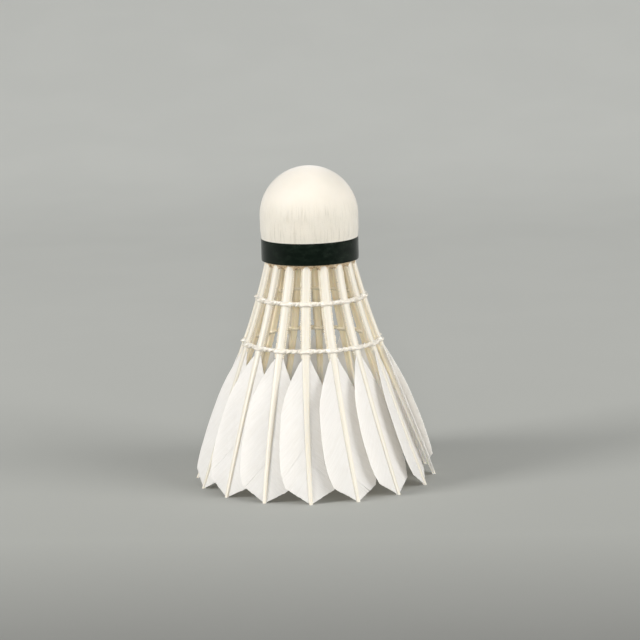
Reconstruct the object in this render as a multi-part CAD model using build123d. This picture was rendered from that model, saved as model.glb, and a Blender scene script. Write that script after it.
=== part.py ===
"""A feather badminton shuttlecock, standing on its feather tips with the cork on top.

Sixteen trimmed feathers stand in a ring of holes in a two-layer cork, glued at the cork's face.
Each feather is a tapering quill with a vane on either side. The vanes overlap like a pinwheel: the left
vane of each feather, seen from outside, lies over the right vane of the feather before it. Two threads
bind the quills below the cork. A leather cover is drawn over the cork, and a plastic tape holds its edge.
Nothing moves: glue and thread hold every piece.

Frame: millimetres, +Z up along the shuttlecock's axis, from the feather tips to the top of the cork. The
origin is the centre of the circle of tips, on the surface that they stand on.
"""

from build123d import *
import math
import os

# ---- Driving dimensions -------------------------------------------------------------------------------

FEATHERS = 16
TIP_RADIUS = 32.85            # outer face of a quill where it stands on the floor
FLARE = 20.0                  # degrees from the axis, over the straight part of a quill
ROOT_TILT = 13.5              # degrees from the axis, where a quill goes into the cork
BEND_START_Z = 40.0           # above this the quill curves from FLARE to ROOT_TILT
CORK_FACE_Z = 60.4            # flat underside of the cork
QUILL_BOW = 1.05              # how far a quill curves to the left in its middle, seen from outside
QUILL_BOW_LENGTH = 74.0       # length of that curve from the tip, though a quill is straight in its hole

CORK_RADIUS = 12.6
CORK_JOINT_Z = 71.5           # glue line between the pressed cork and the natural cork
DOME_START_Z = 72.3           # the cork is a cylinder below this and a dome above it
COVER_THICKNESS = 0.7
COVER_UNDER_TAPE = 0.4        # the tape squeezes the leather to this
TAPE_THICKNESS = 0.2
TAPE_HEIGHT = 5.9

# Quill sections: distance from the tip along the quill's outer face, width, depth, corner share.
# The corner share is the corner radius over the width, and near 0.5 the section is almost round.
QUILL_SECTIONS = (
    (-1.0, 0.95, 0.90, 0.25),
    (14.0, 1.38, 1.37, 0.30),
    (28.0, 1.78, 1.80, 0.34),
    (42.6, 2.20, 2.25, 0.38),
    (47.8, 2.25, 2.35, 0.41),
    (56.5, 2.35, 2.40, 0.45),
    (63.9, 2.35, 2.40, 0.47),
    (73.9, 1.90, 1.90, 0.47),
)
HOLE_CLEARANCE = 0.05         # all round the quill root, filled by glue
HOLE_MOUTH = 61.0             # distance from the tip at which the drill leaves the cork
QUILL_BORE_RADIUS = 0.5       # a goose quill is hollow at its root
QUILL_BORE_DEPTH = 9.0

VANE_THICKNESS = 0.25
VANE_BELOW_FACE = 0.45        # the vane leaves the quill this far under its outer face
VANE_CAMBER_RADIUS = 100.0
VANE_TILT = 11.5              # degrees that lift a vane's left side outwards, over its neighbour
VANE_SHOULDER = (6.4, 4.2)    # half width and height of the corner above the pointed end
VANE_EDGE = (                 # half width and distance from the tip, from the shoulder to the top
    (7.3, 7.6),
    (7.55, 12.0),
    (7.2, 20.0),
    (6.1, 27.0),
    (3.7, 33.4),
    (1.5, 39.2),
)
VANE_POINT = (0.35, 0.35)     # where the pointed end meets the quill's side
VANE_CUT_OUTSIDE = 4.0        # the vane's outline is cut from this far outside the quill's outer face
VANE_CUT_DEPTH = 12.0

THREAD_HEIGHTS = {"lower_thread": 38.5, "upper_thread": 50.5}
THREAD_DIAMETER = 1.1         # the cord between two quills, with its resin
THREAD_WRAP = 0.45            # thickness of the turns around a quill
THREAD_WRAP_HEIGHT = 1.1

GLUE_INNER_RADIUS = 9.2
GLUE_OUTER_RADIUS = 12.3
GLUE_THICKNESS = 0.4
GLUE_COLLAR = 0.35            # fillet of glue around each quill
GLUE_COLLAR_HEIGHT = 1.1

EXTRA = 1.0                   # how far a cutting tool runs past what it cuts
CUT_BLOCK = 40.0              # side of a block that cuts something flat
HALVINGS = 40                 # steps in the search for a height along a quill
PITCH = 360.0 / FEATHERS
FIRST_FEATHER = -90.0         # feather_01 faces -Y

# ---- The quill's line ---------------------------------------------------------------------------------

STRAIGHT_LENGTH = BEND_START_Z / math.cos(math.radians(FLARE))
BEND_ANGLE = math.radians(FLARE - ROOT_TILT)
BEND_RADIUS = (CORK_FACE_Z - BEND_START_Z) / (
    math.sin(math.radians(FLARE)) - math.sin(math.radians(ROOT_TILT))
)
BEND_LENGTH = BEND_RADIUS * BEND_ANGLE
ROOT_START = STRAIGHT_LENGTH + BEND_LENGTH


def quill_line(along):
    """Radius, height and tilt in degrees of a quill's outer face, at a distance from the tip."""
    flare = math.radians(FLARE)
    straight = min(along, STRAIGHT_LENGTH)
    radius = TIP_RADIUS - straight * math.sin(flare)
    height = straight * math.cos(flare)
    turn = min(max(along - STRAIGHT_LENGTH, 0.0), BEND_LENGTH) / BEND_RADIUS
    tilt = flare - turn
    radius -= BEND_RADIUS * (math.cos(tilt) - math.cos(flare))
    height += BEND_RADIUS * (math.sin(flare) - math.sin(tilt))
    rest = max(along - ROOT_START, 0.0)
    radius -= rest * math.sin(tilt)
    height += rest * math.cos(tilt)
    return radius, height, math.degrees(tilt)


def quill_bow(along):
    """How far the quill lies to the left of its tip, seen from outside, at a distance from the tip."""
    share = 2 * min(along, ROOT_START) / QUILL_BOW_LENGTH - 1
    return QUILL_BOW * (1 - share * share)


def quill_plane(along):
    """Plane square to the quill at a distance from the tip: x to the right, y inwards, z to the cork."""
    radius, height, tilt = quill_line(along)
    up = (-math.sin(math.radians(tilt)), 0, math.cos(math.radians(tilt)))
    return Plane(origin=(radius, -quill_bow(along), height), x_dir=(0, 1, 0), z_dir=up)


def quill_size(along):
    """Width, depth and corner share of the quill at a distance from the tip."""
    for low, high in zip(QUILL_SECTIONS, QUILL_SECTIONS[1:]):
        if along <= high[0]:
            share = (along - low[0]) / (high[0] - low[0])
            return tuple(a + share * (b - a) for a, b in zip(low[1:], high[1:]))
    return QUILL_SECTIONS[-1][1:]


def along_at_height(height):
    """Distance from the tip at which the quill's outer face reaches a height."""
    low, high = 0.0, QUILL_SECTIONS[-1][0]
    for _ in range(HALVINGS):
        middle = (low + high) / 2
        if quill_line(middle)[1] < height:
            low = middle
        else:
            high = middle
    return low


def around(shape, feather):
    """The shape, made for a feather on +X, turned to the place of that feather."""
    return shape.rotate(Axis.Z, FIRST_FEATHER + PITCH * feather)


# ---- Feathers -----------------------------------------------------------------------------------------


def quill_section(along, grow=0.0):
    width, depth, corner = quill_size(along)
    width += 2 * grow
    outline = RectangleRounded(width, depth + 2 * grow, corner * width)
    return quill_plane(along) * Pos(0, depth / 2) * outline


def full_quill():
    """A quill before its tip is cut."""
    return loft([quill_section(section[0]) for section in QUILL_SECTIONS], ruled=True)


def quill():
    """One quill: cut flat where it stands on the floor, and bored at its root."""
    body = full_quill()
    root_end = QUILL_SECTIONS[-1][0]
    bore_plane = quill_plane(root_end - QUILL_BORE_DEPTH)
    bore = bore_plane * Pos(0, quill_size(root_end)[1] / 2) * extrude(
        Circle(QUILL_BORE_RADIUS), QUILL_BORE_DEPTH + EXTRA
    )
    below_floor = Pos(TIP_RADIUS, 0, -CUT_BLOCK / 2) * Box(CUT_BLOCK, CUT_BLOCK, CUT_BLOCK)
    return body - bore - below_floor


def quill_hole():
    """What a quill's root takes out of the cork, with its clearance."""
    stations = (HOLE_MOUTH, QUILL_SECTIONS[-2][0], QUILL_SECTIONS[-1][0] + HOLE_CLEARANCE)
    return loft([quill_section(along, HOLE_CLEARANCE) for along in stations], ruled=True)


def vane_sheet():
    """The curved sheet that both vanes are cut from."""
    tilt = math.radians(VANE_TILT)
    centre = Pos(
        -VANE_CAMBER_RADIUS * math.sin(tilt),
        VANE_BELOW_FACE + VANE_CAMBER_RADIUS * math.cos(tilt),
    )
    wall = Circle(VANE_CAMBER_RADIUS) - Circle(VANE_CAMBER_RADIUS - VANE_THICKNESS)
    return quill_plane(0) * extrude(centre * wall, VANE_EDGE[-1][1] + EXTRA)


def beside_quill(across, along):
    """Point at a distance to the right of the quill's bowed middle line, on the plane of its outer face."""
    return across - quill_bow(along), along


def vane_outline(side):
    """The outline of one vane, drawn on the quill's outer face: side is 1 for right and -1 for left."""
    edge = [beside_quill(side * width, along) for width, along in (VANE_SHOULDER, *VANE_EDGE)]
    point = beside_quill(side * VANE_POINT[0], VANE_POINT[1])
    middle_top = beside_quill(0, VANE_EDGE[-1][1])
    middle_low = beside_quill(0, VANE_POINT[1])
    middle = ThreePointArc(middle_top, beside_quill(0, VANE_EDGE[-1][1] / 2), middle_low)
    top = Line(edge[-1], middle_top)
    pointed_end = Polyline(middle_low, point, edge[0])
    return make_face([Spline(*edge), top, middle, *pointed_end.edges()])


def vane(side, quill_body):
    """One vane, fitted against its quill."""
    inwards = quill_plane(0).y_dir
    start = quill_plane(0).origin - inwards * VANE_CUT_OUTSIDE
    drawing_plane = Plane(origin=start, x_dir=(0, 1, 0), z_dir=inwards)
    # The drawing plane's y axis points down the quill, so the outline is mirrored into place.
    outline = mirror(vane_outline(side), about=Plane.XZ)
    prism = drawing_plane * extrude(outline, VANE_CUT_DEPTH)
    return (vane_sheet() & prism) - quill_body


# ---- Threads and glue ---------------------------------------------------------------------------------


def collar(height, length, wall):
    """A sleeve around the quill on +X, centred on a height."""
    along = along_at_height(height)
    width, depth, corner = quill_size(along)
    outline = RectangleRounded(width + 2 * wall, depth + 2 * wall, corner * width + wall)
    sleeve = extrude(Pos(0, depth / 2) * outline, length / 2, both=True)
    return quill_plane(along) * sleeve


def quill_centre(height):
    """Distance of a quill's centre from the shuttlecock's axis at a height, and its turn to the left."""
    along = along_at_height(height)
    radius, _, tilt = quill_line(along)
    ahead = radius - quill_size(along)[1] / 2 * math.cos(math.radians(tilt))
    return math.hypot(ahead, quill_bow(along)), math.degrees(math.atan2(quill_bow(along), ahead))


def thread_ring(height, quills):
    """The binding thread: a turn around each quill and a straight cord from each to the next."""
    centre, turn_left = quill_centre(height)
    half_pitch = math.radians(PITCH / 2)
    chord = 2 * centre * math.sin(half_pitch)
    cord = Cylinder(THREAD_DIAMETER / 2, chord, rotation=(90, 0, 0))
    cord = Pos(centre * math.cos(half_pitch), 0, height) * cord
    wrap = collar(height, THREAD_WRAP_HEIGHT, THREAD_WRAP)
    pieces = [around(wrap, k) for k in range(FEATHERS)]
    pieces += [around(cord, k + 0.5 - turn_left / PITCH) for k in range(FEATHERS)]
    return pieces[0].fuse(*pieces[1:]).cut(*quills)


def root_glue(quills):
    """The ring of glue on the cork's face, with a fillet up each quill."""
    ring = Cylinder(GLUE_OUTER_RADIUS, GLUE_THICKNESS) - Cylinder(GLUE_INNER_RADIUS, GLUE_THICKNESS)
    ring = Pos(0, 0, CORK_FACE_Z - GLUE_THICKNESS / 2) * ring
    middle = CORK_FACE_Z - GLUE_COLLAR_HEIGHT / 2
    fillet_up = collar(middle, GLUE_COLLAR_HEIGHT + EXTRA, GLUE_COLLAR)
    fillets = [around(fillet_up, k) for k in range(FEATHERS)]
    above_face = Pos(0, 0, CORK_FACE_Z + CUT_BLOCK / 2) * Box(CUT_BLOCK, CUT_BLOCK, CUT_BLOCK)
    return ring.fuse(*fillets).cut(above_face, *quills)


# ---- Cork, cover and tape -----------------------------------------------------------------------------


def turned(points_below, radius, tip_z):
    """A solid of revolution: straight lines through points, then a quarter circle up to the axis."""
    start = (radius, tip_z - radius)
    lines = Polyline(*points_below, start)
    bow = math.sqrt(0.5) * radius
    dome = ThreePointArc(start, (bow, tip_z - radius + bow), (0, tip_z))
    close = Line((0, tip_z), points_below[0])
    profile = make_face([*lines.edges(), dome, close])
    return revolve(Plane.XZ * profile, Axis.Z)


def natural_cork():
    return turned(
        [(0, CORK_JOINT_Z), (CORK_RADIUS, CORK_JOINT_Z)],
        CORK_RADIUS,
        DOME_START_Z + CORK_RADIUS,
    )


def pressed_cork():
    """The lower layer of the cork, with a blind hole for each quill."""
    height = CORK_JOINT_Z - CORK_FACE_Z
    block = Pos(0, 0, CORK_FACE_Z + height / 2) * Cylinder(CORK_RADIUS, height)
    holes = [around(quill_hole(), k) for k in range(FEATHERS)]
    return block.cut(*holes)


def leather_cover():
    """The skin over the cork, thinner where the tape squeezes it."""
    outer = CORK_RADIUS + COVER_THICKNESS
    under_tape = CORK_RADIUS + COVER_UNDER_TAPE
    tape_top = CORK_FACE_Z + TAPE_HEIGHT
    skin = turned(
        [
            (0, CORK_FACE_Z),
            (under_tape, CORK_FACE_Z),
            (under_tape, tape_top),
            (outer, tape_top + COVER_THICKNESS),
        ],
        outer,
        DOME_START_Z + outer,
    )
    core = turned([(0, CORK_FACE_Z), (CORK_RADIUS, CORK_FACE_Z)], CORK_RADIUS, DOME_START_Z + CORK_RADIUS)
    return skin - core


def tape():
    inner = CORK_RADIUS + COVER_UNDER_TAPE
    ring = Cylinder(inner + TAPE_THICKNESS, TAPE_HEIGHT) - Cylinder(inner, TAPE_HEIGHT)
    return Pos(0, 0, CORK_FACE_Z + TAPE_HEIGHT / 2) * ring


# ---- The whole shuttlecock ----------------------------------------------------------------------------


def build():
    """Every node's name and solid."""
    one_quill = quill()
    left, right = vane(-1, full_quill()), vane(1, full_quill())
    quills = [around(one_quill, k) for k in range(FEATHERS)]
    nodes = {}
    for k in range(FEATHERS):
        name = f"feather_{k + 1:02d}"
        nodes[f"{name}_quill"] = quills[k]
        nodes[f"{name}_left_vane"] = around(left, k)
        nodes[f"{name}_right_vane"] = around(right, k)
    for name, height in THREAD_HEIGHTS.items():
        nodes[name] = thread_ring(height, quills)
    nodes["root_glue"] = root_glue(quills)
    nodes["natural_cork"] = natural_cork()
    nodes["pressed_cork"] = pressed_cork()
    nodes["leather_cover"] = leather_cover()
    nodes["tape"] = tape()
    return nodes


def main():
    os.makedirs("parts", exist_ok=True)
    for name, shape in build().items():
        export_step(shape, f"parts/{name}.step")


main()
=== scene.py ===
"""The looks of the feather shuttlecock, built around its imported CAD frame.

Feathers, threads, glue, cover and tape are rebuilt as detailed meshes in the places of their CAD nodes.
The two layers of cork stay as the CAD made them and get materials. Sizes are in millimetres until a mesh
is made, and the frame is in metres.
"""

import math

import bmesh
import bpy
import numpy as np
from mathutils import Matrix, Vector


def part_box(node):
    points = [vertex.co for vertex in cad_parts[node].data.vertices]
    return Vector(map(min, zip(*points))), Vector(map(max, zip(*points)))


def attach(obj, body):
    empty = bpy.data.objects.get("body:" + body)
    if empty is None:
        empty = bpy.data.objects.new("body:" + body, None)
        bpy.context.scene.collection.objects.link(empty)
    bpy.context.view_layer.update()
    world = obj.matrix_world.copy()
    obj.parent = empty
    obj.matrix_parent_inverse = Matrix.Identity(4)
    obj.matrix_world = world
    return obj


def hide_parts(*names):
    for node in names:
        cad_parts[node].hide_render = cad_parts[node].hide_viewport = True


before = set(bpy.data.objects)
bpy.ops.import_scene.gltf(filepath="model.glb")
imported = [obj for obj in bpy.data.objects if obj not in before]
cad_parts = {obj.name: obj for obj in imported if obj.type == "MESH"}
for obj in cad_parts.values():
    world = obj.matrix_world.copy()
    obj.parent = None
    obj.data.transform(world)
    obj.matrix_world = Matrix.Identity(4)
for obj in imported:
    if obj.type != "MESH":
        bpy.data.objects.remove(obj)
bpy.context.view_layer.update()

MM = 0.001
SHARP_ANGLE = math.radians(50)      # an edge that bends more than this stays sharp

# ---- Sizes that the frame gives -------------------------------------------------------------------------


def lowest(node):
    return np.array(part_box(node)[0]) / MM


def highest(node):
    return np.array(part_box(node)[1]) / MM


TIP_RADIUS = -lowest("feather_01_quill")[1]
TAPE_RADIUS = highest("tape")[0]
CORK_FACE = lowest("tape")[2]
TAPE_TOP = highest("tape")[2]
COVER_RADIUS = highest("leather_cover")[0]
APEX = highest("leather_cover")[2]
THREAD_HEIGHT = {
    name: (lowest(name)[2] + highest(name)[2]) / 2 for name in ("lower_thread", "upper_thread")
}

# ---- Sizes of the feathers, as in the CAD ---------------------------------------------------------------

FEATHERS = 16
PITCH = 2 * math.pi / FEATHERS
FLARE = math.radians(20.0)          # a quill's angle from the axis, below the bend
ROOT_TILT = math.radians(13.5)      # the same where it goes into the cork
BEND_START = 40.0                   # height at which the quill starts to curve inwards
QUILL_BOW = 1.05                    # how far a quill curves to the left in its middle, seen from outside
QUILL_BOW_LENGTH = 74.0             # length of that curve from the tip

STRAIGHT = BEND_START / math.cos(FLARE)
BEND_RADIUS = (CORK_FACE - BEND_START) / (math.sin(FLARE) - math.sin(ROOT_TILT))
BEND = BEND_RADIUS * (FLARE - ROOT_TILT)
ROOT_START = STRAIGHT + BEND
ROOT_END = ROOT_START + 9.9

# Width and depth of a quill at distances from its tip
QUILL_ALONG = (0.0, 9.0, 18.0, 32.0, 42.6, 56.5, 63.9, 73.9)
QUILL_WIDTH = (0.98, 1.26, 1.50, 1.80, 2.16, 2.32, 2.32, 1.86)
QUILL_DEPTH = (0.90, 1.16, 1.45, 1.92, 2.24, 2.38, 2.38, 1.86)

# Half width of a vane at distances from the tip
VANE_ALONG = (0.0, 4.2, 7.6, 12.0, 20.0, 27.0, 33.4, 37.6, 40.2)
VANE_WIDTH = (5.2, 6.4, 7.3, 7.55, 7.15, 6.1, 3.75, 1.75, 0.7)
VANE_TOP = 40.0
VANE_NOTCH = 0.64                   # slope of the pointed end
VANE_BELOW_FACE = 0.45
VANE_CAMBER = 100.0
VANE_TILT = math.radians(11.5)
VANE_THICKNESS = 0.2

BARB_PITCH = 0.42                   # between neighbouring barbs, square to them
BARB_ANGLE = {-1: math.radians(34), 1: math.radians(45)}   # left vane, right vane
LOWEST_BARB = {-1: 1.15, 1: 0.95}   # where the first barb leaves the quill
BARB_RELIEF = 0.012                 # how far each barb stands out of the vane
COLUMNS_PER_BARB = 4
ROWS = 13                           # points along a barb

# Slits between barbs of the two worn vanes: where they start on the quill, and how far each one opens
WORN_VANES = {
    (FEATHERS - 1, -1): ((3.0, 4.6, 11.6), 0.40),
    (1, 1): ((3.6, 4.6, 5.6, 6.6), 0.6),
}
SLIT_OPENING = 0.07                 # of the other vanes

STUB_PITCH = 0.47                   # between the trimmed barbs above a vane
STUB_LENGTH = 0.30
LONG_STUBS = (1, -1)                # the second feather's left side
LONG_STUB_SCALE = 1.25

# ---- Sizes of the threads, the glue and the tape --------------------------------------------------------

THREAD_RADIUS = 0.28                # of one strand
THREAD_POINTS = 1600                # round the ring
HALF_TWISTS = 3                     # between two quills, so a strand goes round both sides of a quill
PLY_PITCH = 1.6                     # length of one turn of a strand's three plies
QUILL_HOLD = 0.42                   # share of a quill's width, to each side, that a thread lies flat on
STRAND_REACH = 0.38                 # of a strand from the thread's centre line, between quills
RESIN_POINTS = 1280
RESIN_HALF_WIDTH = 0.36             # towards the axis, between quills
RESIN_HALF_HEIGHT = 0.53
FILLET_LENGTH = 0.45                # over which the resin swells towards a quill

GLUE_INNER_RADIUS = 8.8
GLUE_OUTER_RADIUS = 12.75
GLUE_DEPTH = 0.60                   # below the cork, away from the quills
GLUE_CLIMB = 0.95                   # how much further the glue comes down beside a quill
GLUE_CLIMB_WIDTH = 0.40

COVER_COLUMNS = 560
COVER_UNDER_TAPE = 1.2              # how far the cover's skin goes down behind the tape
COVER_WALL = 0.4
CREASES_FADE = (71.0, 79.5)         # heights between which the creases die out

TAPE_THICKNESS = 0.13
TAPE_LAP = math.radians(24)


# ---- Numbers and meshes ---------------------------------------------------------------------------------


def curve(x, xs, ys):
    """A smooth curve through the points (xs, ys)."""
    xs, ys = np.asarray(xs, float), np.asarray(ys, float)
    slope = np.gradient(ys, xs)
    i = np.clip(np.searchsorted(xs, x) - 1, 0, len(xs) - 2)
    step = xs[i + 1] - xs[i]
    t = np.clip((x - xs[i]) / step, 0, 1)
    start = (1 + 2 * t) * (1 - t) ** 2 * ys[i] + t * (1 - t) ** 2 * step * slope[i]
    end = t * t * (3 - 2 * t) * ys[i + 1] + t * t * (t - 1) * step * slope[i + 1]
    return start + end


def ramp(x, low, high):
    """0 below low, 1 above high, and smooth between."""
    t = np.clip((x - low) / (high - low), 0, 1)
    return t * t * (3 - 2 * t)


def ripple(rng, x, y, wavelength, waves=6):
    """Gentle seeded unevenness over x and y, between about -1 and 1."""
    total = 0
    for _ in range(waves):
        heading = rng.uniform(0, 2 * math.pi)
        reach = wavelength * rng.uniform(0.6, 1.6)
        phase = rng.uniform(0, 2 * math.pi)
        along = x * math.cos(heading) + y * math.sin(heading)
        total = total + np.sin(2 * math.pi * along / reach + phase)
    return total / math.sqrt(waves * 2)


def grid_faces(rows, columns, first=0, wrap=False):
    """The four-sided faces of a grid of points that is stored row by row."""
    r, c = np.meshgrid(np.arange(rows - 1), np.arange(columns if wrap else columns - 1), indexing="ij")
    right = (c + 1) % columns
    corners = (r * columns + c, r * columns + right, (r + 1) * columns + right, (r + 1) * columns + c)
    return first + np.stack([corner.ravel() for corner in corners], 1)


def shell_faces(rows, columns, first=0):
    """The faces of a closed sheet: an outer grid, an inner grid after it, and the rim between."""
    count = rows * columns
    outer = grid_faces(rows, columns, first)
    inner = grid_faces(rows, columns, first + count)[:, ::-1]
    index = np.arange(count).reshape(rows, columns)
    loop = np.concatenate([index[0], index[1:, -1], index[-1, -2::-1], index[-2:0:-1, 0]])
    ahead = np.roll(loop, -1)
    rim = np.stack([ahead, loop, loop + count, ahead + count], 1) + first
    return np.concatenate([outer, inner, rim])


def make_piece(name, points, faces, nodes, look, attributes=None):
    """A closed mesh in place of CAD nodes, with its material."""
    mesh = bpy.data.meshes.new(name)
    mesh.from_pydata((np.asarray(points) * MM).tolist(), [], [list(map(int, face)) for face in faces])
    for label, values in (attributes or {}).items():
        values = np.asarray(values, np.float32)
        kind = "FLOAT_VECTOR" if values.ndim == 2 else "FLOAT"
        layer = mesh.attributes.new(label, kind, "POINT")
        layer.data.foreach_set("vector" if values.ndim == 2 else "value", values.ravel())
    work = bmesh.new()
    work.from_mesh(mesh)
    bmesh.ops.recalc_face_normals(work, faces=work.faces)
    work.to_mesh(mesh)
    work.free()
    mesh.shade_smooth()
    mesh.set_sharp_from_angle(angle=SHARP_ANGLE)
    mesh.materials.append(look)
    piece = bpy.data.objects.new(name, mesh)
    bpy.context.scene.collection.objects.link(piece)
    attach(piece, "root")
    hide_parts(*nodes)


def ring_faces(rows, sides):
    """The faces of a closed ring that is stored section by section."""
    last = (rows - 1) * sides
    here = np.arange(sides)
    ahead = (here + 1) % sides
    join = np.stack([last + here, last + ahead, ahead, here], 1)
    return np.concatenate([grid_faces(rows, sides, wrap=True), join])


def tube_points(path, radius):
    """Points round a closed path, section by section. radius has a row for each point of the path."""
    tangent = np.roll(path, -1, 0) - np.roll(path, 1, 0)
    tangent /= np.linalg.norm(tangent, axis=1, keepdims=True)
    side = np.cross(np.array([0.0, 0.0, 1.0]), tangent)
    side /= np.linalg.norm(side, axis=1, keepdims=True)
    up = np.cross(tangent, side)
    angle = np.linspace(0, 2 * math.pi, radius.shape[1], endpoint=False)
    offset = side[:, None] * np.cos(angle)[None, :, None] + up[:, None] * np.sin(angle)[None, :, None]
    return (path[:, None] + offset * radius[:, :, None]).reshape(-1, 3)


# ---- The feather's own coordinates ----------------------------------------------------------------------


def quill_line(along):
    """Radius, height and tilt of a quill's outer face at distances from the tip."""
    straight = np.minimum(along, STRAIGHT)
    bent = np.clip(along - STRAIGHT, 0, BEND)
    rest = np.maximum(along - ROOT_START, 0)
    tilt = FLARE - bent / BEND_RADIUS
    radius = TIP_RADIUS - straight * math.sin(FLARE)
    height = straight * math.cos(FLARE)
    radius = radius - BEND_RADIUS * (np.cos(tilt) - math.cos(FLARE)) - rest * np.sin(tilt)
    height = height + BEND_RADIUS * (math.sin(FLARE) - np.sin(tilt)) + rest * np.cos(tilt)
    return radius, height, tilt


def quill_bow(along):
    """How far the quill lies to the left of its tip, seen from outside. It is straight in its hole."""
    share = 2 * np.minimum(along, ROOT_START) / QUILL_BOW_LENGTH - 1
    return QUILL_BOW * (1 - share**2)


def place(feather, across, along, out):
    """Points of a feather: across to the right, along from the tip, and out from its quill's outer face."""
    across, along, out = np.broadcast_arrays(across, along, out)
    radius, height, tilt = quill_line(along)
    radius = radius + out * np.cos(tilt)
    height = height + out * np.sin(tilt)
    across = across - quill_bow(along)
    turn = feather * PITCH
    x = radius * math.sin(turn) + across * math.cos(turn)
    y = -radius * math.cos(turn) + across * math.sin(turn)
    return np.stack([x, y, height], -1).reshape(-1, 3)


def quill_width(along):
    return np.interp(along, QUILL_ALONG, QUILL_WIDTH)


def quill_depth(along):
    return np.interp(along, QUILL_ALONG, QUILL_DEPTH)


def along_at(height):
    """Distance from the tip at which a quill's outer face reaches a height."""
    table = np.linspace(0, ROOT_END, 400)
    return float(np.interp(height, quill_line(table)[1], table))


def vane_height(across):
    """How far a vane lies below the quill's outer face: its camber, and its tilt over its neighbour."""
    centre = -VANE_CAMBER * math.sin(VANE_TILT)
    drop = VANE_BELOW_FACE + VANE_CAMBER * math.cos(VANE_TILT)
    return np.sqrt(VANE_CAMBER**2 - (across - centre) ** 2) - drop


# ---- Materials ------------------------------------------------------------------------------------------


class Look:
    """A material and its nodes."""

    def __init__(self, name):
        self.material = bpy.data.materials.new(name)
        self.material.use_nodes = True
        self.tree = self.material.node_tree
        self.shader = self.tree.nodes["Principled BSDF"]

    def set(self, **values):
        """Values on the shader's own sockets, with _ for a space in their names."""
        for name, value in values.items():
            self.shader.inputs[name.replace("_", " ")].default_value = value
        return self

    def subsurface(self, weight, radius, scale):
        """Light that spreads below the surface. The scale is in millimetres."""
        return self.set(Subsurface_Weight=weight, Subsurface_Radius=radius, Subsurface_Scale=scale * MM)

    def node(self, kind, *inputs, **settings):
        """A new node. Each input is a socket to link, a value, or None to leave it alone."""
        node = self.tree.nodes.new("ShaderNode" + kind)
        for name, value in settings.items():
            setattr(node, name, value)
        for socket, value in zip(node.inputs, inputs):
            self.feed(socket, value)
        return node

    def feed(self, socket, value):
        """Links a socket or sets a value. A colour may have three parts."""
        if socket.type == "RGBA" and isinstance(value, tuple):
            value = (*value[:3], 1)
        if isinstance(value, bpy.types.NodeSocket):
            self.tree.links.new(value, socket)
        elif value is not None:
            socket.default_value = value

    def place(self, stretch=(1, 1, 1)):
        """The object's own coordinates in millimetres, stretched."""
        spot = self.node("TexCoord").outputs["Object"]
        return self.scaled(spot, tuple(part / MM for part in stretch))

    def scaled(self, vector, stretch):
        return self.node("VectorMath", vector, stretch, operation="MULTIPLY").outputs[0]

    def attribute(self, name, output="Fac"):
        return self.node("Attribute", attribute_name=name).outputs[output]

    def noise(self, vector, scale=1.0, detail=3.0, roughness=0.5):
        return self.node("TexNoise", vector, None, scale, detail, roughness).outputs["Fac"]

    def math(self, operation, *inputs):
        return self.node("Math", *inputs, operation=operation).outputs[0]

    def ramp(self, value, low, high, start=0.0, end=1.0):
        """value from low..high to start..end, clamped."""
        node = self.node("MapRange", value, low, high, start, end, clamp=True)
        return node.outputs[0]

    def mix(self, share, a, b):
        node = self.node("Mix", data_type="RGBA")
        self.feed(node.inputs[0], share)
        self.feed(node.inputs[6], a)
        self.feed(node.inputs[7], b)
        return node.outputs[2]

    def colour(self, value):
        self.feed(self.shader.inputs["Base Color"], value)
        return self

    def roughness(self, value):
        self.feed(self.shader.inputs["Roughness"], value)
        return self

    def bump(self, height, distance):
        """Relief of that depth in millimetres where height is 1."""
        node = self.node("Bump")
        node.inputs["Strength"].default_value = 1.0
        node.inputs["Distance"].default_value = distance * MM
        self.feed(node.inputs["Height"], height)
        self.feed(self.shader.inputs["Normal"], node.outputs[0])
        return self


def vane_look():
    """White barbs: a thin, slightly translucent web with cream stubs of trimmed barbs. Its underside is
    painted paler, as the light that comes through the vane.
    """
    dull = (0.695, 0.665, 0.62)
    pale = (0.725, 0.70, 0.665)
    fine_white = (0.83, 0.81, 0.775)
    lit_through_underside = (0.93, 0.895, 0.83)
    # Painted light: the underside is paler than the top, standing in for the light that comes through the
    # vane.
    cream = (0.88, 0.78, 0.60)
    look = Look("vane").subsurface(0.55, (1.0, 0.95, 0.9), 1.5)
    look.set(Specular_IOR_Level=0.3, Sheen_Weight=0.25, Sheen_Roughness=0.4)
    barb = look.attribute("barb", "Vector")
    tone = look.attribute("tone")
    cloudy = look.noise(look.place(), 0.16, 3)
    fine = look.noise(look.scaled(barb, (2.0, 0.5, 1.0)), 1.0, 2)
    shade = look.math("ADD", look.math("MULTIPLY", tone, 0.3), look.math("MULTIPLY", cloudy, 0.7))
    base = look.mix(look.ramp(shade, 0.25, 0.75), dull, pale)
    base = look.mix(look.ramp(fine, 0.35, 0.7, 0.0, 0.3), base, fine_white)
    # Painted light: the underside gets the paler colour, for the light that comes through the vane.
    base = look.mix(look.attribute("under"), base, lit_through_underside)
    look.colour(look.mix(look.attribute("stub"), base, cream))
    look.roughness(look.ramp(fine, 0.3, 0.7, 0.5, 0.68))
    look.bump(fine, 0.01)
    return look.material


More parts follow.
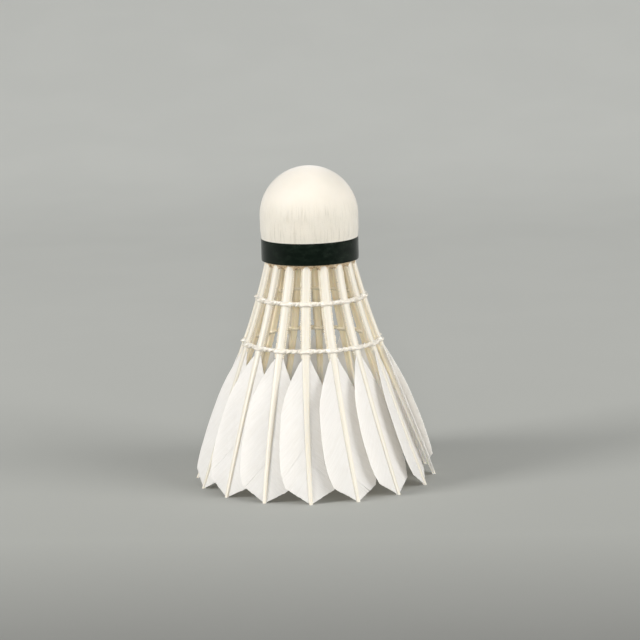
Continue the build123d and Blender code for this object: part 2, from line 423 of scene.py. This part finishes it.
def quill_look():
    """Ivory keratin with fine streaks along it. Its inner side and flanks are painted paler than keratin,
    as the light that comes through the quill: white lower down and tan higher up, the tan being partly the
    quill's own colour and partly painted shade.
    """
    ivory = ((0.625, 0.59, 0.505), (0.685, 0.655, 0.585))
    mottled = (0.67, 0.62, 0.525)
    # Painted light: the inner side is paler than keratin, for the light that comes through the quill; the
    # tan is partly the quill's own colour and partly painted shade.
    tan = ((0.95, 0.81, 0.58), (0.98, 0.89, 0.69))
    white = (0.93, 0.90, 0.84)
    look = Look("quill").subsurface(0.35, (1.2, 1.0, 0.7), 0.5)
    look.set(Specular_IOR_Level=0.45, Coat_Weight=0.15, Coat_Roughness=0.25)
    streak_place = look.attribute("streak", "Vector")
    streak = look.noise(look.scaled(streak_place, (5.0, 0.12, 1.0)), 1.0, 4, 0.6)
    mottle = look.noise(look.place(), 0.35, 3)
    outer = look.mix(look.ramp(streak, 0.35, 0.7), *ivory)
    outer = look.mix(look.ramp(mottle, 0.45, 0.8, 0, 0.4), outer, mottled)
    # The inner side and flanks get the painted light: white lower down, tan higher up.
    inner = look.mix(look.ramp(streak, 0.35, 0.7), *tan)
    inner = look.mix(look.attribute("upper_tan"), white, inner)
    look.colour(look.mix(look.attribute("inner"), outer, inner))
    look.roughness(look.ramp(streak, 0.3, 0.75, 0.32, 0.52))
    look.bump(streak, 0.05)
    return look.material


THREAD_INNER_LIGHT = (0.93, 0.84, 0.66)   # a thread's side that faces the axis, painted paler and warmer as the light that comes through the feathers


def thread_look():
    """Glossy cord, with fine fibres."""
    cord_tones = ((0.64, 0.595, 0.52), (0.76, 0.725, 0.66))
    look = Look("thread").subsurface(0.2, (1, 0.9, 0.8), 0.4)
    look.set(Coat_Weight=0.5, Coat_Roughness=0.18, Specular_IOR_Level=0.5)
    fibre = look.noise(look.place(), 6.0, 3)
    patch = look.noise(look.place(), 0.6, 2)
    cord = look.mix(look.ramp(fibre, 0.35, 0.65), *cord_tones)
    # Painted light: the side facing the axis is paler and warmer, for the light that comes through the
    # feathers.
    look.colour(look.mix(look.attribute("inner"), cord, THREAD_INNER_LIGHT))
    look.roughness(look.ramp(patch, 0.35, 0.65, 0.28, 0.5))
    look.bump(fibre, 0.03)
    return look.material


def resin_look():
    """Cream resin, wet and uneven."""
    resin_tones = ((0.68, 0.63, 0.535), (0.76, 0.725, 0.655))
    look = Look("resin").subsurface(0.3, (1, 0.85, 0.6), 0.4)
    look.set(Coat_Weight=0.8, Coat_Roughness=0.08, Specular_IOR_Level=0.6)
    patch = look.noise(look.place(), 1.1, 3)
    glaze = look.mix(look.ramp(patch, 0.3, 0.7), *resin_tones)
    # Painted light: the side facing the axis is paler and warmer, for the light that comes through the
    # feathers.
    look.colour(look.mix(look.attribute("inner"), glaze, THREAD_INNER_LIGHT))
    look.roughness(look.ramp(patch, 0.35, 0.65, 0.15, 0.32))
    look.bump(patch, 0.05)
    return look.material


def glue_look():
    """Brown glue with crumbs of cork in it."""
    glue_tones = ((0.30, 0.19, 0.09), (0.66, 0.52, 0.34))
    crumb_pale = (0.74, 0.63, 0.47)
    look = Look("root_glue").set(Coat_Weight=0.3, Coat_Roughness=0.25)
    crumb = look.node("TexVoronoi", look.place(), None, 2.6).outputs["Color"]
    speck = look.noise(look.place(), 3.2, 4, 0.65)
    tan = look.mix(look.ramp(speck, 0.35, 0.62), *glue_tones)
    pale = look.ramp(look.node("SeparateColor", crumb).outputs[0], 0.55, 0.9, 0, 0.7)
    look.colour(look.mix(pale, tan, crumb_pale))
    look.roughness(look.ramp(speck, 0.3, 0.7, 0.35, 0.75))
    look.bump(speck, 0.18)
    return look.material


def leather_look():
    """Thin cream leather: smooth on the dome, with fine upright creases and pores lower down, whose lines
    and pits are darkened with painted shade.
    """
    cream_tones = ((0.645, 0.602, 0.523), (0.68, 0.637, 0.563))
    worn = (0.61, 0.585, 0.505)
    # Painted shade: the colour that darkens the crease lines and pores.
    crease_shade = (0.37, 0.345, 0.28)
    look = Look("leather").subsurface(0.12, (1, 0.8, 0.6), 1.0)
    look.set(Specular_IOR_Level=0.2, Sheen_Weight=0.45, Sheen_Roughness=0.6)
    skin = look.attribute("skin", "Vector")
    creased = look.attribute("creased")
    crease = look.noise(look.scaled(skin, (6.5, 0.16, 1)), 1.0, 2, 0.5)
    pore = look.noise(look.scaled(skin, (8.5, 3.6, 1)), 1.0, 3, 0.6)
    line = look.math("MULTIPLY", look.ramp(crease, 0.34, 0.44, 1, 0), 0.6)
    pit = look.math("MULTIPLY", look.ramp(pore, 0.33, 0.43, 1, 0), 0.5)
    marks = look.math("MULTIPLY", creased, look.math("ADD", line, pit))
    cloudy = look.noise(look.place(), 0.12, 3)
    base = look.mix(look.ramp(cloudy, 0.35, 0.65), *cream_tones)
    wear = look.math("MULTIPLY", creased, look.ramp(cloudy, 0.3, 0.6, 0.15, 0.5))
    base = look.mix(wear, base, worn)
    # The crease lines and pores are darkened with painted shade.
    look.colour(look.mix(look.math("MULTIPLY", marks, 0.85), base, crease_shade))
    grain = look.noise(look.place(), 3.5, 4, 0.6)
    look.roughness(look.ramp(grain, 0.3, 0.7, 0.5, 0.66))
    relief = look.math("SUBTRACT", look.math("MULTIPLY", grain, 0.25), marks)
    look.bump(relief, 0.05)
    return look.material


def tape_look():
    """Dark glossy tape with faint smudges."""
    black_tones = ((0.001, 0.004, 0.002), (0.007, 0.013, 0.008))
    dust = (0.03, 0.036, 0.028)
    look = Look("tape").set(Coat_Weight=0.10, Coat_Roughness=0.12, Specular_IOR_Level=0.17)
    smudge = look.noise(look.place((1, 1, 2)), 0.35, 5, 0.6)
    speck = look.noise(look.place(), 4.0, 3)
    dark = look.mix(look.ramp(smudge, 0.42, 0.75), *black_tones)
    look.colour(look.mix(look.ramp(speck, 0.68, 0.8, 0, 0.2), dark, dust))
    look.roughness(look.ramp(smudge, 0.35, 0.7, 0.14, 0.3))
    look.bump(smudge, 0.03)
    return look.material


def cork_look(name, grain, dark, pale):
    """Cork: grains of that size in millimetres, with dark pores between them."""
    pore = (0.12, 0.06, 0.03)
    look = Look(name)
    cells = look.node("TexVoronoi", look.place(), None, 1 / grain)
    edges = look.node("TexVoronoi", look.place(), None, 1 / grain, feature="DISTANCE_TO_EDGE")
    tone = look.node("SeparateColor", cells.outputs["Color"]).outputs[0]
    fine = look.noise(look.place(), 2.5, 4, 0.6)
    mixed = look.math("ADD", look.math("MULTIPLY", tone, 0.6), look.math("MULTIPLY", fine, 0.4))
    body = look.mix(mixed, dark, pale)
    gap = look.ramp(edges.outputs["Distance"], 0.0, 0.09, 1, 0)
    look.colour(look.mix(look.math("MULTIPLY", gap, 0.7), body, pore))
    look.roughness(look.ramp(fine, 0.3, 0.7, 0.7, 0.9))
    look.bump(look.math("SUBTRACT", look.math("MULTIPLY", fine, 0.6), gap), 0.15)
    return look.material


# ---- Feathers -------------------------------------------------------------------------------------------


def name_of(feather):
    return f"feather_{feather + 1:02d}"


def superellipse(value, power):
    """A sine or cosine bent so that the outline it draws is squarer than a circle."""
    return np.sign(value) * np.abs(value) ** power


def make_quill(feather, look):
    """A tapering quill, rounder towards the cork, cut flat at the tip where it stands."""
    rng = np.random.default_rng(100 + feather)
    sides = 40
    straight = np.linspace(0, STRAIGHT, 54, endpoint=False)
    bent = np.linspace(STRAIGHT, ROOT_END, 34)
    stations = np.concatenate([straight, bent])
    angle, along = np.meshgrid(np.linspace(0, 2 * math.pi, sides, endpoint=False), stations)
    uneven = 1 + 0.012 * ripple(rng, along, 0 * along, 14)
    width = quill_width(along) * uneven
    depth = quill_depth(along) * uneven
    # Squarer at the tip, nearly round at the root.
    power = 2 / np.interp(along, (0, 42, 64, 74), (3.4, 3.0, 2.5, 2.1))
    across = width / 2 * superellipse(np.cos(angle), power)
    out = depth / 2 * superellipse(np.sin(angle), power) - depth / 2
    # A groove runs along the inner side, and two faint furrows along the outer face.
    groove = np.exp(-((across / (0.16 * width)) ** 2)) * ramp(-np.sin(angle), 0.2, 0.9)
    out = out + 0.12 * depth * groove
    furrow = np.exp(-(((np.abs(across) - 0.24 * width) / (0.06 * width)) ** 2))
    out = out - 0.02 * furrow * ramp(np.sin(angle), 0.3, 0.9)
    # The end is cut level, as it stands on the ground.
    cut = -out * math.tan(FLARE) * (1 - ramp(along, 0, 8))
    points = place(feather, across, along + cut, out)
    # Masks for the painted light and shade of the inner side: tan higher up, and how far the inner side's
    # paler colour reaches round the flanks.
    upper_tan = ramp(along, 22, 32)
    inner = ramp(-out / depth, 0.30, 0.90)
    streak = np.stack([across, along, out * 2], -1).reshape(-1, 3) + feather * 17.0
    rows = len(stations)
    ends = [list(range(sides)), list(range((rows - 1) * sides, rows * sides))]
    faces = grid_faces(rows, sides, wrap=True).tolist() + ends
    make_piece(
        f"quill_{feather + 1:02d}",
        points,
        faces,
        [f"{name_of(feather)}_quill"],
        look,
        {"inner": inner.ravel(), "upper_tan": upper_tan.ravel(), "streak": streak},
    )


def barb_reach(root, angle, sweep):
    """How far out from the quill's middle a barb goes before it is trimmed."""
    low, high = np.zeros_like(root), np.full_like(root, 9.0)
    for _ in range(22):
        middle = (low + high) / 2
        along = barb_line(root, middle, angle, sweep)
        kept = (middle < curve(along, VANE_ALONG, VANE_WIDTH)) & (along > VANE_NOTCH * middle + 0.13)
        low, high = np.where(kept, middle, low), np.where(kept, high, middle)
    return low


def barb_line(root, across, angle, sweep):
    """Distance from the tip of a point on a barb, which curves a little towards the tip."""
    return root - across / math.tan(angle) + 0.022 * across**2 - sweep * (across / 7) ** 1.5


def vane_panel(rng, side, roots, sweep, uneven):
    """One stretch of a vane whose barbs hold together: its local points, as a closed sheet."""
    angle = BARB_ANGLE[side]
    spacing = BARB_PITCH / math.sin(angle)
    barbs = max(int(round((roots[1] - roots[0]) / spacing)), 1)
    columns = barbs * COLUMNS_PER_BARB + 1
    index = np.linspace(0, barbs, columns)
    root = roots[0] + (roots[1] - roots[0]) * index / barbs
    reach = barb_reach(root, angle, sweep)
    crest = 0.5 - 0.5 * np.cos(2 * math.pi * index)
    trim = rng.normal(0, 0.03, barbs + 1)[np.minimum(index.astype(int), barbs)]
    inside = 0.3 * quill_width(root)
    reach = np.maximum(reach + (trim + 0.05 * crest - 0.04) * ramp(reach, 1, 3), inside + 0.02)
    share = np.linspace(0, 1, ROWS)[:, None]
    across = inside + (reach - inside) * share
    along = barb_line(root, across, angle, sweep)
    signed = side * across
    out = vane_height(signed) + uneven(along, signed)
    relief = BARB_RELIEF * crest * ramp(across, 0.6, 1.6)
    thick = VANE_THICKNESS * (1 - 0.45 * share)
    outer = np.stack([signed, along, out + relief], -1)
    inner = np.stack([signed, along, out - thick - relief * 0.6], -1)
    tone = rng.uniform(0, 1, barbs + 1)[np.minimum(index.astype(int), barbs)]
    barb = np.stack([root / spacing + 0 * across, across, 0 * across], -1)
    return outer, inner, np.broadcast_to(tone, across.shape), barb


def slit_roots(rng, feather, side):
    """Where on the quill a vane's slits start, from the tip upwards, and how far each one opens."""
    if (feather, side) in WORN_VANES:
        return WORN_VANES[(feather, side)]
    count = rng.integers(0, 3)
    return tuple(np.sort(rng.uniform(2.5, 24, count))), SLIT_OPENING


def make_stubs(rng, feather, side):
    """The trimmed roots of the barbs that once grew above the vane, as small slanted teeth."""
    along = np.arange(VANE_TOP - 0.6, ROOT_START - 0.4, STUB_PITCH)
    along = along + rng.normal(0, 0.03, len(along))
    length = STUB_LENGTH + 0.10 * ripple(rng, along, 0 * along, 9) + rng.normal(0, 0.04, len(along))
    scale = LONG_STUB_SCALE if (feather, side) == LONG_STUBS else 1.0
    length = np.clip(length * scale, 0.08, 0.55)
    rooted = 0.16                   # depth of a stub's root in the quill
    base = quill_width(along) / 2 - rooted
    depth = quill_depth(along)
    corners = []
    for far in (0, 1):
        across = base + far * (length + rooted)
        shift = -far * length * 0.8
        half = 0.19 - far * 0.08
        top = -0.26 * depth - far * 0.06
        low = -0.50 * depth + far * 0.12
        for end, level in ((-half, top), (half, top), (half, low), (-half, low)):
            corners.append(np.stack([side * across, along + shift + end, level], -1))
    points = np.stack(corners, 1).reshape(-1, 3)
    ends = [[0, 1, 2, 3], [7, 6, 5, 4]]
    walls = [[0, 4, 5, 1], [1, 5, 6, 2], [2, 6, 7, 3], [3, 7, 4, 0]]
    block = np.array(ends + walls)
    faces = (np.arange(len(along))[:, None, None] * 8 + block).reshape(-1, 4)
    return points, faces


def make_vane(feather, side, look):
    """One vane: panels of barbs with slits between them, and the trimmed stubs above."""
    rng = np.random.default_rng(500 + feather * 2 + (side > 0))
    seed = int(rng.integers(1 << 30))
    lift = rng.uniform(-0.12, 0.12)

    def uneven(along, across):
        waves = ripple(np.random.default_rng(seed), along, across, 16)
        reach = np.abs(across) / 7.5
        return (0.10 * waves + lift) * reach**1.5

    starts, opening = slit_roots(rng, feather, side)
    bounds = [LOWEST_BARB[side], *starts, VANE_TOP]
    points, faces, tones, barbs, unders = [], [], [], [], []
    count = 0
    for order, roots in enumerate(zip(bounds, bounds[1:])):
        sweep = opening * (len(starts) - order)
        outer, inner, tone, barb = vane_panel(rng, side, roots, sweep, uneven)
        rows, columns = outer.shape[:2]
        faces += shell_faces(rows, columns, count).tolist()
        # under is 1 on the inner face, which the vane's look paints paler as the light that comes through.
        for under, grid in enumerate((outer, inner)):
            points.append(place(feather, grid[..., 0], grid[..., 1], grid[..., 2]))
            tones.append(tone.ravel())
            barbs.append(barb.reshape(-1, 3))
            unders.append(np.full(rows * columns, under))
        count += 2 * rows * columns
    stubs, stub_faces = make_stubs(rng, feather, side)
    points.append(place(feather, stubs[:, 0], stubs[:, 1], stubs[:, 2]))
    faces += (stub_faces + count).tolist()
    tones.append(np.full(len(stubs), 0.8))
    barbs.append(stubs)
    unders.append(np.zeros(len(stubs)))
    stub = np.concatenate([np.zeros(count), np.ones(len(stubs))])
    word = "left" if side < 0 else "right"
    make_piece(
        f"vane_{feather + 1:02d}_{word}",
        np.concatenate(points),
        faces,
        [f"{name_of(feather)}_{word}_vane"],
        look,
        {
            "tone": np.concatenate(tones),
            "barb": np.concatenate(barbs),
            "under": np.concatenate(unders),
            "stub": stub,
        },
    )


# ---- Threads and glue -----------------------------------------------------------------------------------


def thread_geometry(name):
    """Height of a thread ring, the radius of the quills' centres there, their depth, width and bow."""
    height = THREAD_HEIGHT[name]
    along = along_at(height)
    radius, _, tilt = quill_line(along)
    depth, width = quill_depth(along), quill_width(along)
    ahead = float(radius - depth / 2 * np.cos(tilt))
    bow = float(quill_bow(along))
    return height, math.hypot(ahead, bow), float(depth), float(width), math.atan2(bow, ahead)


def at_quill(turn, radius, width):
    """1 where a thread passes a quill, 0 between quills, and a smooth change between."""
    phase = (turn / PITCH + 0.5) % 1 - 0.5
    reach = np.abs(phase) * PITCH * radius
    hold = width * QUILL_HOLD
    return 1 - ramp(reach, hold, hold + 1.0), phase


def on_ring(turn, bow_turn, radius, level):
    """Points of a ring, where turn is measured from the first quill, which its bow has turned."""
    turned = turn - bow_turn
    return np.stack(np.broadcast_arrays(radius * np.sin(turned), -radius * np.cos(turned), level), -1)


def strand_path(name, start, rng):
    """One of two strands that cross between each pair of quills, so that each goes round both sides."""
    height, radius, depth, width, bow_turn = thread_geometry(name)
    turn = np.linspace(0, 2 * math.pi, THREAD_POINTS, endpoint=False)
    held, phase = at_quill(turn, radius, width)
    half_gap = 0.5 - (width * QUILL_HOLD) / (PITCH * radius)
    across_gap = np.clip((np.abs(phase) - (0.5 - half_gap)) / half_gap, 0, 1) * np.sign(phase)
    number = np.floor(turn / PITCH + 0.5)
    twist = start + math.pi * HALF_TWISTS * (number + across_gap / 2)
    between = STRAND_REACH + 0.04 * ripple(rng, turn * radius, 0 * turn, 5)
    reach = between + (depth / 2 + THREAD_RADIUS * 0.75 - between) * held
    wander = 0.08 * ripple(rng, turn * radius, 0 * turn, 11)
    out = radius + np.cos(twist) * reach
    level = height + wander + np.sin(twist) * between * (1 - held)
    return on_ring(turn, bow_turn, out, level), turn * radius


def inner_side(name, points):
    """1 on the side of a thread ring that faces the axis, where the looks paint the light that comes
    through the feathers, 0 on its outer side.
    """
    radius = thread_geometry(name)[1]
    return ramp(radius - np.hypot(points[:, 0], points[:, 1]), 0.0, 0.35)


def make_thread(name, thread, resin):
    """The two strands of a binding thread, each of three plies, and the resin over them."""
    rng = np.random.default_rng(sum(map(ord, name)))
    sides = 12
    angle = np.linspace(0, 2 * math.pi, sides, endpoint=False)
    points, faces = [], []
    for strand in (0, 1):
        path, distance = strand_path(name, strand * math.pi, rng)
        plies = 1 + 0.13 * np.cos(3 * angle[None, :] - distance[:, None] * 2 * math.pi / PLY_PITCH)
        points.append(tube_points(path, THREAD_RADIUS * plies))
        faces += (ring_faces(THREAD_POINTS, sides) + strand * THREAD_POINTS * sides).tolist()
    points = np.concatenate(points)
    inner = {"inner": inner_side(name, points)}
    make_piece(f"{name}_strands", points, faces, [name], thread, inner)
    make_resin(name, resin, rng)


def make_resin(name, look, rng):
    """The resin that fills the thread's valleys and swells into a fillet at each quill."""
    height, radius, depth, width, bow_turn = thread_geometry(name)
    turn = np.linspace(0, 2 * math.pi, RESIN_POINTS, endpoint=False)
    sides = 20
    held, phase = at_quill(turn, radius, width)
    reach = np.abs(phase) * PITCH * radius - width / 2
    fillet = np.exp(-np.maximum(reach, 0) / FILLET_LENGTH)
    lumps = ripple(rng, turn * radius, 0 * turn, 3.4)
    flat = RESIN_HALF_WIDTH + 0.04 * lumps + 0.20 * fillet + (depth / 2 - 0.30) * held
    tall = RESIN_HALF_HEIGHT + 0.06 * lumps + 0.55 * fillet * (1 - 0.45 * held) - 0.05 * held
    angle = np.linspace(0, 2 * math.pi, sides, endpoint=False)[None, :]
    sag = -0.10 * fillet[:, None] * (1 - np.sin(angle)) / 2
    out = radius + flat[:, None] * np.cos(angle)
    level = height + tall[:, None] * np.sin(angle) + sag
    points = on_ring(turn[:, None], bow_turn, out, level).reshape(-1, 3)
    faces = ring_faces(RESIN_POINTS, sides).tolist()
    inner = {"inner": inner_side(name, points)}
    make_piece(f"{name}_resin", points, faces, [name], look, inner)


def make_root_glue(look):
    """Glue on the cork's face: a rough ring that climbs down each quill."""
    rng = np.random.default_rng(42)
    turns = np.linspace(0, 2 * math.pi, 960, endpoint=False)
    turn, radius = np.meshgrid(turns, np.linspace(GLUE_INNER_RADIUS, GLUE_OUTER_RADIUS, 40))
    along = along_at(CORK_FACE - 0.5)
    centre = quill_line(along)[0] - quill_depth(along) / 2
    nearest = np.round(turn / PITCH) * PITCH
    across = radius * np.sin(turn - nearest) + quill_bow(along)
    inward = radius * np.cos(turn - nearest) - centre
    beside = np.maximum(np.abs(across) - quill_width(along) / 2, 0)
    behind = np.maximum(np.abs(inward) - quill_depth(along) / 2, 0)
    away = np.hypot(beside, behind)
    x, y = radius * np.sin(turn), -radius * np.cos(turn)
    rough = ripple(rng, x, y, 1.6, 14) * 0.28 + ripple(rng, x, y, 0.55, 14) * 0.08
    inner_edge = ramp(radius, GLUE_INNER_RADIUS, GLUE_INNER_RADIUS + 0.8)
    edge = inner_edge * (1 - ramp(radius, GLUE_OUTER_RADIUS - 0.4, GLUE_OUTER_RADIUS))
    # In front of a quill the glue is a thin line, so that the quill's face shows up to the tape.
    face = quill_depth(along) / 2
    in_front = ramp(inward, face - 0.35, face + 0.05)
    depth = GLUE_DEPTH + GLUE_CLIMB * np.exp(-away / GLUE_CLIMB_WIDTH) + rough
    sink = depth * edge * (1 - 0.88 * in_front)
    rows, columns = radius.shape
    lower = np.stack([x, y, CORK_FACE - np.maximum(sink, 0.0) - 0.01], -1).reshape(-1, 3)
    upper = np.stack([x, y, np.full_like(x, CORK_FACE + 0.05)], -1).reshape(-1, 3)
    count = rows * columns
    below = grid_faces(rows, columns, wrap=True)
    above = grid_faces(rows, columns, count, wrap=True)[:, ::-1]
    here = np.arange(columns)
    ahead = (here + 1) % columns
    last = (rows - 1) * columns
    inner_rim = np.stack([ahead, here, here + count, ahead + count], 1)
    outer_rim = np.stack([last + here, last + ahead, last + ahead + count, last + here + count], 1)
    faces = np.concatenate([below, above, inner_rim, outer_rim]).tolist()
    make_piece("root_glue_ring", np.concatenate([lower, upper]), faces, ["root_glue"], look)


# ---- Cover and tape -------------------------------------------------------------------------------------


def make_cover(look):
    """The leather skin: a bullet drawn in a little above the tape, with fine upright creases."""
    rng = np.random.default_rng(7)
    columns = COVER_COLUMNS
    dome_start = APEX - COVER_RADIUS
    rise = np.linspace(TAPE_TOP - COVER_UNDER_TAPE, dome_start, 60, endpoint=False)
    climb = np.linspace(0, math.pi / 2, 110)[:-1]
    waist = COVER_RADIUS - 0.22 * (1 - ramp(rise, TAPE_TOP - 0.2, TAPE_TOP + 2.6))
    radius = np.concatenate([waist, COVER_RADIUS * np.cos(climb)])
    height = np.concatenate([rise, dome_start + COVER_RADIUS * np.sin(climb)])
    length = np.concatenate([[0], np.cumsum(np.hypot(np.diff(radius), np.diff(height)))])
    turn = np.linspace(0, 2 * math.pi, columns, endpoint=False)
    turns, lengths = np.meshgrid(turn, length)
    flat = turns * COVER_RADIUS
    creased = (1 - ramp(height, *CREASES_FADE))[:, None]
    crease = ripple(rng, flat, lengths * 0.05, 1.1, 12) + ripple(rng, flat, lengths * 0.08, 0.6, 10)
    sag = ripple(rng, flat, lengths, 9, 8)
    swell = 0.008 * crease * creased + 0.02 * sag * ramp(radius, 0.5, 6)[:, None]
    # The unevenness doesn't repeat after one turn, so it dies out where the turn closes.
    seam = np.minimum(turns, 2 * math.pi - turns) * COVER_RADIUS
    swell = swell * ramp(seam, 0, 0.4)
    grown = radius[:, None] + swell
    x, y = grown * np.sin(turns), grown * np.cos(turns)
    points = np.stack([x, y, np.broadcast_to(height[:, None], x.shape)], -1).reshape(-1, 3)
    rows = len(radius)
    top = rows * columns
    inner_radius = radius[0] - COVER_WALL
    level = 0 * turn + height[0]
    inner_wall = np.stack([inner_radius * np.sin(turn), inner_radius * np.cos(turn), level], -1)
    points = np.concatenate([points, [[0, 0, APEX]], inner_wall, [[0, 0, height[0] + 1.0]]])
    here = np.arange(columns)
    ahead = (here + 1) % columns
    last = (rows - 1) * columns
    faces = grid_faces(rows, columns, wrap=True).tolist()
    faces += [[int(last + a), int(last + b), top] for a, b in zip(here, ahead)]
    faces += [[int(b), int(a), int(top + 1 + a), int(top + 1 + b)] for a, b in zip(here, ahead)]
    floor = top + 1 + columns
    faces += [[int(top + 1 + b), int(top + 1 + a), floor] for a, b in zip(here, ahead)]
    skin = np.stack([flat, lengths, 0 * flat], -1).reshape(-1, 3)
    extra = columns + 2
    attributes = {
        "skin": np.concatenate([skin, np.zeros((extra, 3))]),
        "creased": np.concatenate([np.broadcast_to(creased, flat.shape).ravel(), np.zeros(extra)]),
    }
    make_piece("cover_skin", points, faces, ["leather_cover"], look, attributes)


def make_tape(look):
    """The tape: one turn with its end lapped over its start, at the back."""
    rng = np.random.default_rng(9)
    turn = np.linspace(-TAPE_LAP / 2, 2 * math.pi + TAPE_LAP / 2, 420)
    lap = ramp(turn, 2 * math.pi - TAPE_LAP * 0.6, 2 * math.pi - TAPE_LAP * 0.4)
    across = np.linspace(0, 1, 22)
    inner_radius = TAPE_RADIUS - 0.2
    turns, shares = np.meshgrid(turn, across)
    wave = 0.025 * ripple(rng, turns * inner_radius, shares * 6, 7, 8)
    edge = 0.05 * ripple(rng, turns * inner_radius, 0 * turns, 8)
    level = CORK_FACE + (TAPE_TOP - CORK_FACE) * shares + edge * (2 * shares - 1)
    rounded = 0.05 * (np.exp(-shares / 0.03) + np.exp(-(1 - shares) / 0.03))
    base = inner_radius + 0.06 + lap[None, :] * 0.15 + wave
    shells = []
    for radius in (base + TAPE_THICKNESS - rounded, base):
        shell = np.stack([radius * np.sin(turns), radius * np.cos(turns), level], -1)
        shells.append(shell.reshape(-1, 3))
    faces = shell_faces(len(across), len(turn)).tolist()
    make_piece("tape_band", np.concatenate(shells), faces, ["tape"], look)


# ---- Stage, light and camera ----------------------------------------------------------------------------


def stage_look():
    """Grey paper with painted light and shade: paler towards the back, where less light reaches the
    backdrop, and darker at the front edge.
    """
    # Painted light and shade: near and far make the paler back, front makes the darker front edge.
    near = (0.34, 0.346, 0.328)
    far = (0.69, 0.70, 0.67)
    front = (0.12, 0.12, 0.115)
    fibre_grey = (0.30, 0.31, 0.30)
    look = Look("stage_paper").set(Roughness=0.85, Specular_IOR_Level=0.15)
    spot = look.place()
    back = look.node("SeparateXYZ", spot).outputs[1]
    fibre = look.noise(spot, 0.02, 2)
    # Painted light: the paper gets paler towards the back.
    paper = look.mix(look.ramp(back, -60, 600), near, far)
    # Painted shade: darker at the front edge.
    paper = look.mix(look.ramp(back, -190, -65, 0.85, 0.0), paper, front)
    look.colour(look.mix(look.ramp(fibre, 0.4, 0.6, 0, 0.03), paper, fibre_grey))
    return look.material


def make_stage():
    """A floor that curves up into a backdrop."""
    turn_radius = 900.0
    wall_top = 1800.0
    half_width = 2600.0
    floor_front = -1500.0
    floor_back = 450.0
    bend = np.linspace(0, math.pi / 2, 24)
    wall = floor_back + turn_radius
    y = np.concatenate([[floor_front, 0.0], floor_back + turn_radius * np.sin(bend), [wall]])
    z = np.concatenate([[0.0, 0.0], turn_radius * (1 - np.cos(bend)), [wall_top]])
    x = np.array([-half_width, half_width])
    points = np.stack([np.tile(x, len(y)), np.repeat(y, 2), np.repeat(z, 2)], -1) * MM
    mesh = bpy.data.meshes.new("stage")
    mesh.from_pydata(points.tolist(), [], grid_faces(len(y), 2).tolist())
    mesh.shade_smooth()
    mesh.materials.append(stage_look())
    stage = bpy.data.objects.new("stage", mesh)
    bpy.context.scene.collection.objects.link(stage)


def make_light(name, spot, aim, size, watts, colour, mirrored=True):
    """A square soft light aimed at a point, in millimetres. Glossy surfaces may mirror it."""
    data = bpy.data.lights.new(name, "AREA")
    data.shape = "SQUARE"
    data.size = size * MM
    data.energy = watts
    data.color = colour
    light = bpy.data.objects.new(name, data)
    light.location = Vector(spot) * MM
    light.visible_glossy = mirrored
    light.rotation_euler = (Vector(aim) - Vector(spot)).to_track_quat("-Z", "Y").to_euler()
    bpy.context.scene.collection.objects.link(light)


def make_lights():
    """A soft light at each side, a small one on the camera's line that lights the inside, and the sky."""
    middle = (0, 0, 40)
    warm = (1.0, 0.985, 0.965)
    make_light("left", (-650, -300, 400), middle, 300, 4.9, warm)
    make_light("right", (650, -300, 400), middle, 520, 4.9, warm)
    make_light("front", (45, -1000, 228), middle, 100, 4.5, (1.0, 0.985, 0.96), mirrored=False)
    world = bpy.data.worlds.new("studio")
    world.use_nodes = True
    sky = world.node_tree.nodes["Background"]
    sky.inputs["Color"].default_value = (0.98, 0.99, 1.0, 1)
    sky.inputs["Strength"].default_value = 0.40
    bpy.context.scene.world = world


CAMERA_DISTANCE = 727.8             # from the shuttlecock's axis, level with the floor
CAMERA_HEIGHT = 176.4
CAMERA_AZIMUTH = math.radians(2.45)
CAMERA_ASIDE = 2.22                 # to the camera's right
CAMERA_PITCH = math.radians(10.36)
CAMERA_ROLL = math.radians(1.516)
CAMERA_LENS = 153.26                # on a sensor 36 mm wide


def make_camera():
    data = bpy.data.cameras.new("camera")
    data.lens = CAMERA_LENS
    data.sensor_width = 36.0
    data.clip_start = 0.01
    data.clip_end = 20.0
    camera = bpy.data.objects.new("camera", data)
    level_right = Vector((math.cos(CAMERA_AZIMUTH), math.sin(CAMERA_AZIMUTH), 0))
    level_ahead = Vector((-math.sin(CAMERA_AZIMUTH), math.cos(CAMERA_AZIMUTH), 0))
    ahead = level_ahead * math.cos(CAMERA_PITCH) - Vector((0, 0, math.sin(CAMERA_PITCH)))
    level_up = level_right.cross(ahead)
    right = level_right * math.cos(CAMERA_ROLL) - level_up * math.sin(CAMERA_ROLL)
    up = right.cross(ahead)
    spot = -level_ahead * CAMERA_DISTANCE + level_right * CAMERA_ASIDE + Vector((0, 0, CAMERA_HEIGHT))
    turn = Matrix((right, up, -ahead)).transposed().to_4x4()
    camera.matrix_world = Matrix.Translation(spot * MM) @ turn
    bpy.context.scene.collection.objects.link(camera)
    bpy.context.scene.camera = camera


# ---- The whole scene ------------------------------------------------------------------------------------


def dress(node, look):
    """Gives a CAD node that stays in view its material."""
    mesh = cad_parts[node].data
    mesh.materials.clear()
    mesh.materials.append(look)


def main():
    """Every piece of the shuttlecock, then the stage, the lights and the camera."""
    quill, vane = quill_look(), vane_look()
    for feather in range(FEATHERS):
        make_quill(feather, quill)
        make_vane(feather, -1, vane)
        make_vane(feather, 1, vane)
    thread, resin = thread_look(), resin_look()
    for name in THREAD_HEIGHT:
        make_thread(name, thread, resin)
    make_root_glue(glue_look())
    make_cover(leather_look())
    make_tape(tape_look())
    dress("pressed_cork", cork_look("pressed_cork", 1.1, (0.30, 0.18, 0.09), (0.62, 0.45, 0.27)))
    dress("natural_cork", cork_look("natural_cork", 2.2, (0.45, 0.30, 0.17), (0.66, 0.50, 0.32)))
    make_stage()
    make_lights()
    make_camera()
    bpy.context.scene.view_settings.view_transform = "Standard"


main()
